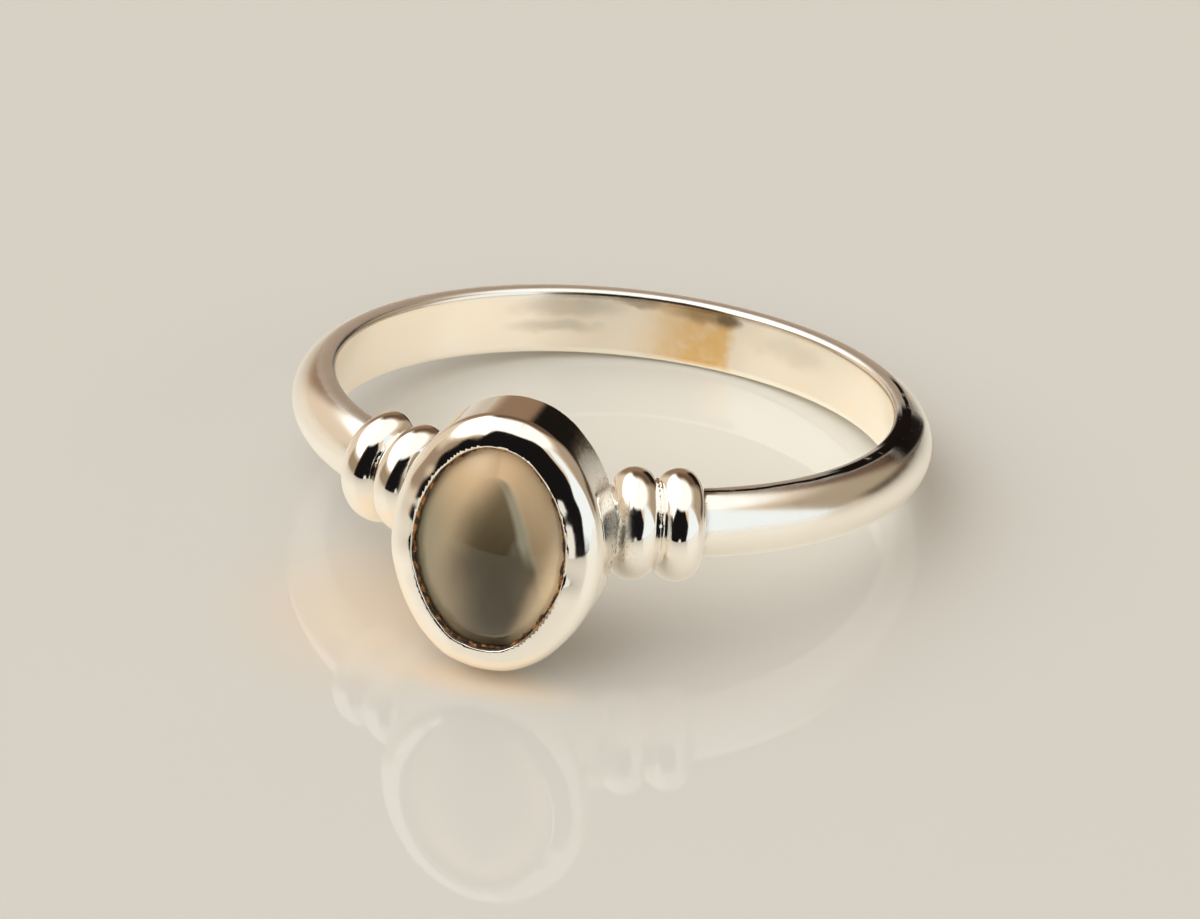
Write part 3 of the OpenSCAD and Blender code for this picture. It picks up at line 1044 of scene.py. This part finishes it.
def residue_tree():
    """Geometry Nodes that run a ragged bead along a path and scatter crumbs beside it."""
    tree, inputs = new_tree("seam_residue", (
        ("Geometry", "Geometry"), ("Points", "Int"), ("Bead", "Float"), ("Raggedness", "Float"),
        ("Crumbs", "Int"), ("Crumb", "Float"), ("Seed", "Int"), ("Material", "Material"),
    ))
    path = add(tree, "GeometryNodeMeshToCurve", Mesh=inputs["Geometry"]).outputs[0]
    fine = add(tree, "GeometryNodeResampleCurve", {"mode": "COUNT"}, Curve=path, Count=inputs["Points"])
    place = tree.nodes.new("GeometryNodeInputPosition").outputs[0]
    stray = add(tree, "ShaderNodeTexNoise", Vector=place, Scale=2600.0, Detail=3.0, Roughness=0.65)
    centred = add(tree, "ShaderNodeVectorMath", {"operation": "SUBTRACT"}, Vector=stray.outputs["Color"])
    centred.inputs[1].default_value = (0.5, 0.5, 0.5)
    offset = add(
        tree, "ShaderNodeVectorMath", {"operation": "SCALE"},
        Vector=centred.outputs[0], Scale=inputs["Raggedness"],
    )
    strayed = add(
        tree, "GeometryNodeSetPosition", Geometry=fine.outputs[0], Offset=offset.outputs[0]
    ).outputs[0]

    # The bead is thick in some stretches and nearly gone in others, and every stretch is flecked.
    heavy = noise(tree, place, 420.0, 2.0, 0.5)
    fleck = noise(tree, place, 3600.0, 2.0, 0.6)
    body = times(tree, ramp(tree, heavy, 0.36, 0.66, 0.30, 1.0), ramp(tree, fleck, 0.3, 0.7, 0.45, 1.5))
    rounded = add(tree, "GeometryNodeSetCurveRadius", Curve=strayed, Radius=body)
    profile = add(
        tree, "GeometryNodeCurvePrimitiveCircle", {"mode": "RADIUS"}, Resolution=6, Radius=inputs["Bead"]
    )
    bead = add(
        tree, "GeometryNodeCurveToMesh", Curve=rounded.outputs[0], Profile_Curve=profile.outputs[0]
    )

    # Crumbs are of all sizes, and larger where the bead is thick.
    spots = add(tree, "GeometryNodeCurveToPoints", {"mode": "COUNT"}, Curve=strayed, Count=inputs["Crumbs"])
    size = add(tree, "FunctionNodeRandomValue", {"data_type": "FLOAT"})
    least_and_most = (0.15, 1.0)
    for socket, value in zip([s for s in size.inputs if s.type == "VALUE"], least_and_most):
        feed(tree, socket, value)
    feed(tree, [s for s in size.inputs if s.name == "Seed"][0], inputs["Seed"])
    chosen = times(tree, size.outputs[1], ramp(tree, heavy, 0.40, 0.6, 0.2, 1.0))
    ball = add(tree, "GeometryNodeMeshIcoSphere", Radius=inputs["Crumb"], Subdivisions=1)
    crumbs = add(
        tree, "GeometryNodeInstanceOnPoints",
        Points=spots.outputs["Points"], Instance=ball.outputs["Mesh"], Scale=chosen,
    )
    joined = tree.nodes.new("GeometryNodeJoinGeometry")
    tree.links.new(bead.outputs[0], joined.inputs[0])
    tree.links.new(crumbs.outputs[0], joined.inputs[0])
    end_tree(tree, joined.outputs[0], inputs["Material"])
    return tree


def seam_path(shape, seam):
    """Points around the seam where the lip's edge comes down on the stone, in the ring's frame."""
    lip, waver = shape.sizes.lip, shape.work.waver
    edge_waver = (shape.outside_share + shape.edge_share) * waver
    turns = np.linspace(0, 2 * math.pi, seam.corners, endpoint=False)
    reach = shape.oval.radius(np.cos(turns), np.sin(turns), lip)
    for _ in range(3):
        u, v = reach * np.cos(turns), reach * np.sin(turns)
        inward = -shape.oval.outside(u, v) - edge_waver * shape.waver(u, v)
        reach = reach + (inward - lip - seam.off_lip)
    u, v = reach * np.cos(turns), reach * np.sin(turns)
    height = shape.dome_height(u, v) + seam.above_stone
    return np.stack([u, -shape.cup_back - height, v], 1)


class RING_OT_seam_residue(bpy.types.Operator):
    """Make the dark residue that has dried along the seam around the stone"""

    bl_idname = "ring.seam_residue"
    bl_label = "Seam residue"

    def execute(self, context):
        settings = context.scene.moonstone_ring
        seam = settings.seam
        points = seam_path(SilverShape(settings), seam)
        path = bpy.data.meshes.new("seam_path")
        links = [(i, (i + 1) % len(points)) for i in range(len(points))]
        path.from_pydata(points.tolist(), links, [])
        path.transform(RING_TO_WORLD)
        material = residue_material(settings.finish)
        mesh = grown("seam_residue", path, residue_tree(), {
            "Points": seam.points, "Bead": seam.bead, "Raggedness": seam.ragged, "Crumbs": seam.crumbs,
            "Crumb": seam.crumb, "Seed": seam.seed, "Material": material,
        })
        piece = mesh_object("seam_residue", mesh, material)
        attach(piece, "root")
        return {"FINISHED"}


# Stage

# Cards of light and shade around the table, in degrees: azimuth from the bezel's side towards the right,
# elevation above the table, half the width and height, and how softly the edges end. The taper is how much
# a card's half-width shrinks for each degree upwards.
CARDS = (
    # name, azimuth, elevation, half_width, half_height, softness, taper, colour
    ("ceiling", 0, 82, 180, 30, 5, 0, (1.10, 1.10, 1.06)),
    ("key_light", -93, 55, 62, 27, 4, 0, (1.6, 1.62, 1.58)),
    ("back_wall", 136, 22, 40, 22, 8, 0, (0.40, 0.32, 0.23)),
    ("rear_wall", 182, 28, 30, 20, 8, 0, (0.14, 0.085, 0.055)),
    ("skirting", 150, 1, 30, 9, 4, 0, (0.10, 0.07, 0.045)),
    ("left_corner", -156, 14, 22, 13, 8, 0, (0.28, 0.18, 0.11)),
    ("left_shelf", -58, 9, 30, 13, 6, 0, (0.34, 0.25, 0.17)),
    ("camera_side", 9, 19, 42, 36, 4, 0.32, (0.008, 0.007, 0.007)),
    ("low_window", 11, -7, 6, 5, 2, 0.4, (0.85, 0.82, 0.76)),
    ("right_softbox", 72, 25, 21, 31, 3, 0.40, (0.91, 0.97, 1.0)),
    ("back_gap", 171, 11, 12, 10, 3, 0, (0.01, 0.008, 0.006)),
)
# Matte surfaces are lit by a broad warm fill and one soft key, so that shadows fall to the lower right.
MATTE_CARDS = (
    # name, azimuth, elevation, half_width, half_height, softness, taper, colour
    ("matte_key", -42, 54, 56, 32, 24, 0, (3.12, 3.06, 2.87)),
    ("matte_right", 72, 12, 36, 14, 8, 0, (2.3, 1.95, 1.5)),
)
MATTE_FILL = (0.54, 0.465, 0.37)
ROOM_COLOUR = (0.76, 0.62, 0.47)
BACKDROP_COLOUR = (0.70, 0.66, 0.59)


def room(tree, azimuth, elevation, plain, cards):
    """The colour of a room in each direction: its plain colour behind all its cards."""
    shade = mix(tree, 0.0, plain, plain)
    for name, card_azimuth, card_elevation, half_w, half_h, soft, taper, card_colour in cards:
        turned = maths(tree, "WRAP", maths(tree, "SUBTRACT", azimuth, card_azimuth), 180.0, -180.0)
        raised = maths(tree, "SUBTRACT", elevation, card_elevation)
        aside = maths(tree, "MULTIPLY_ADD", raised, taper, maths(tree, "ABSOLUTE", turned))
        beside = ramp(tree, aside, half_w - soft, half_w + soft, 1.0, 0.0)
        above = ramp(tree, maths(tree, "ABSOLUTE", raised), half_h - soft, half_h + soft, 1.0, 0.0)
        shade = mix(tree, times(tree, beside, above), shade, card_colour, name)
    return shade


def light_the_room(scene):
    """A studio of soft cards around the table, seen only in reflections and in the light that it gives."""
    world = bpy.data.worlds.new("studio")
    scene.world = world
    world.use_nodes = True
    tree = world.node_tree
    tree.nodes.clear()
    x, y, z = split(tree, tree.nodes.new("ShaderNodeTexCoord").outputs["Generated"])
    azimuth = maths(tree, "DEGREES", maths(tree, "ARCTAN2", x, times(tree, y, -1.0)))
    elevation = maths(tree, "DEGREES", maths(tree, "ARCSINE", z))
    mirrored = room(tree, azimuth, elevation, ROOM_COLOUR, CARDS)
    matte = room(tree, azimuth, elevation, MATTE_FILL, MATTE_CARDS)
    ray = tree.nodes.new("ShaderNodeLightPath").outputs
    lit = mix(tree, ray["Is Diffuse Ray"], mirrored, matte)
    seen = mix(tree, ray["Is Camera Ray"], lit, BACKDROP_COLOUR)
    background = add(tree, "ShaderNodeBackground", Color=seen, Strength=1.0)
    add(tree, "ShaderNodeOutputWorld", Surface=background.outputs[0])


def place_camera(scene, stage):
    """The camera at the picture's angle, turned a little about its line of sight."""
    back = Vector((
        math.sin(stage.azimuth) * math.cos(stage.elevation),
        -math.cos(stage.azimuth) * math.cos(stage.elevation),
        math.sin(stage.elevation),
    ))
    right = Vector((math.cos(stage.azimuth), math.sin(stage.azimuth), 0))
    up = back.cross(right)
    cos, sin = math.cos(stage.roll), math.sin(stage.roll)
    camera_x, camera_y = cos * right + sin * up, cos * up - sin * right
    data = bpy.data.cameras.new("camera")
    data.sensor_width = 36.0
    data.lens = data.sensor_width * stage.focal_px / stage.width_px
    data.clip_start, data.clip_end = 0.01, 50.0
    camera = bpy.data.objects.new("camera", data)
    scene.collection.objects.link(camera)
    aim = HOLE_CENTRE - Vector((stage.aim_left, 0, stage.aim_below))
    turn = Matrix((camera_x, camera_y, back)).transposed().to_4x4()
    camera.matrix_world = Matrix.Translation(aim + back * stage.distance) @ turn
    scene.camera = camera


class RING_OT_stage(bpy.types.Operator):
    """Make the table top, the light and the camera"""

    bl_idname = "ring.stage"
    bl_label = "Stage"

    def execute(self, context):
        scene = context.scene
        stage = scene.moonstone_ring.stage
        far, near = stage.table, stage.table_front
        mesh = bpy.data.meshes.new("table_top")
        corners = [(-far, -near, 0), (far, -near, 0), (far, far, 0), (-far, far, 0)]
        mesh.from_pydata(corners, [], [(0, 1, 2, 3)])
        table = mesh_object("table_top", mesh, table_material(stage), smooth=False)
        light_the_room(scene)
        place_camera(scene, stage)
        scene.view_settings.view_transform = "Standard"
        return {"FINISHED"}


class RING_PT_panel(bpy.types.Panel):
    """The ring's pieces, in the order that they are made"""

    bl_label = "Moonstone ring"
    bl_space_type = "VIEW_3D"
    bl_region_type = "UI"
    bl_category = "Ring"

    def draw(self, context):
        for operator in OPERATORS:
            self.layout.operator(operator.bl_idname)


OPERATORS = (RING_OT_silver_mount, RING_OT_moonstone, RING_OT_seam_residue, RING_OT_stage)
GROUPS = (MountSizes, WorkSizes, StoneSizes, SeamSizes, Finish, StageSizes, RingSettings)
CLASSES = (*GROUPS, *OPERATORS, RING_PT_panel)


def register():
    for item in CLASSES:
        bpy.utils.register_class(item)
    bpy.types.Scene.moonstone_ring = bpy.props.PointerProperty(type=RingSettings)


def unregister():
    del bpy.types.Scene.moonstone_ring
    for item in reversed(CLASSES):
        bpy.utils.unregister_class(item)


def main():
    """Makes every piece."""
    register()
    bpy.ops.ring.silver_mount()
    bpy.ops.ring.moonstone()
    bpy.ops.ring.seam_residue()
    bpy.ops.ring.stage()


if __name__ == "__main__":
    main()
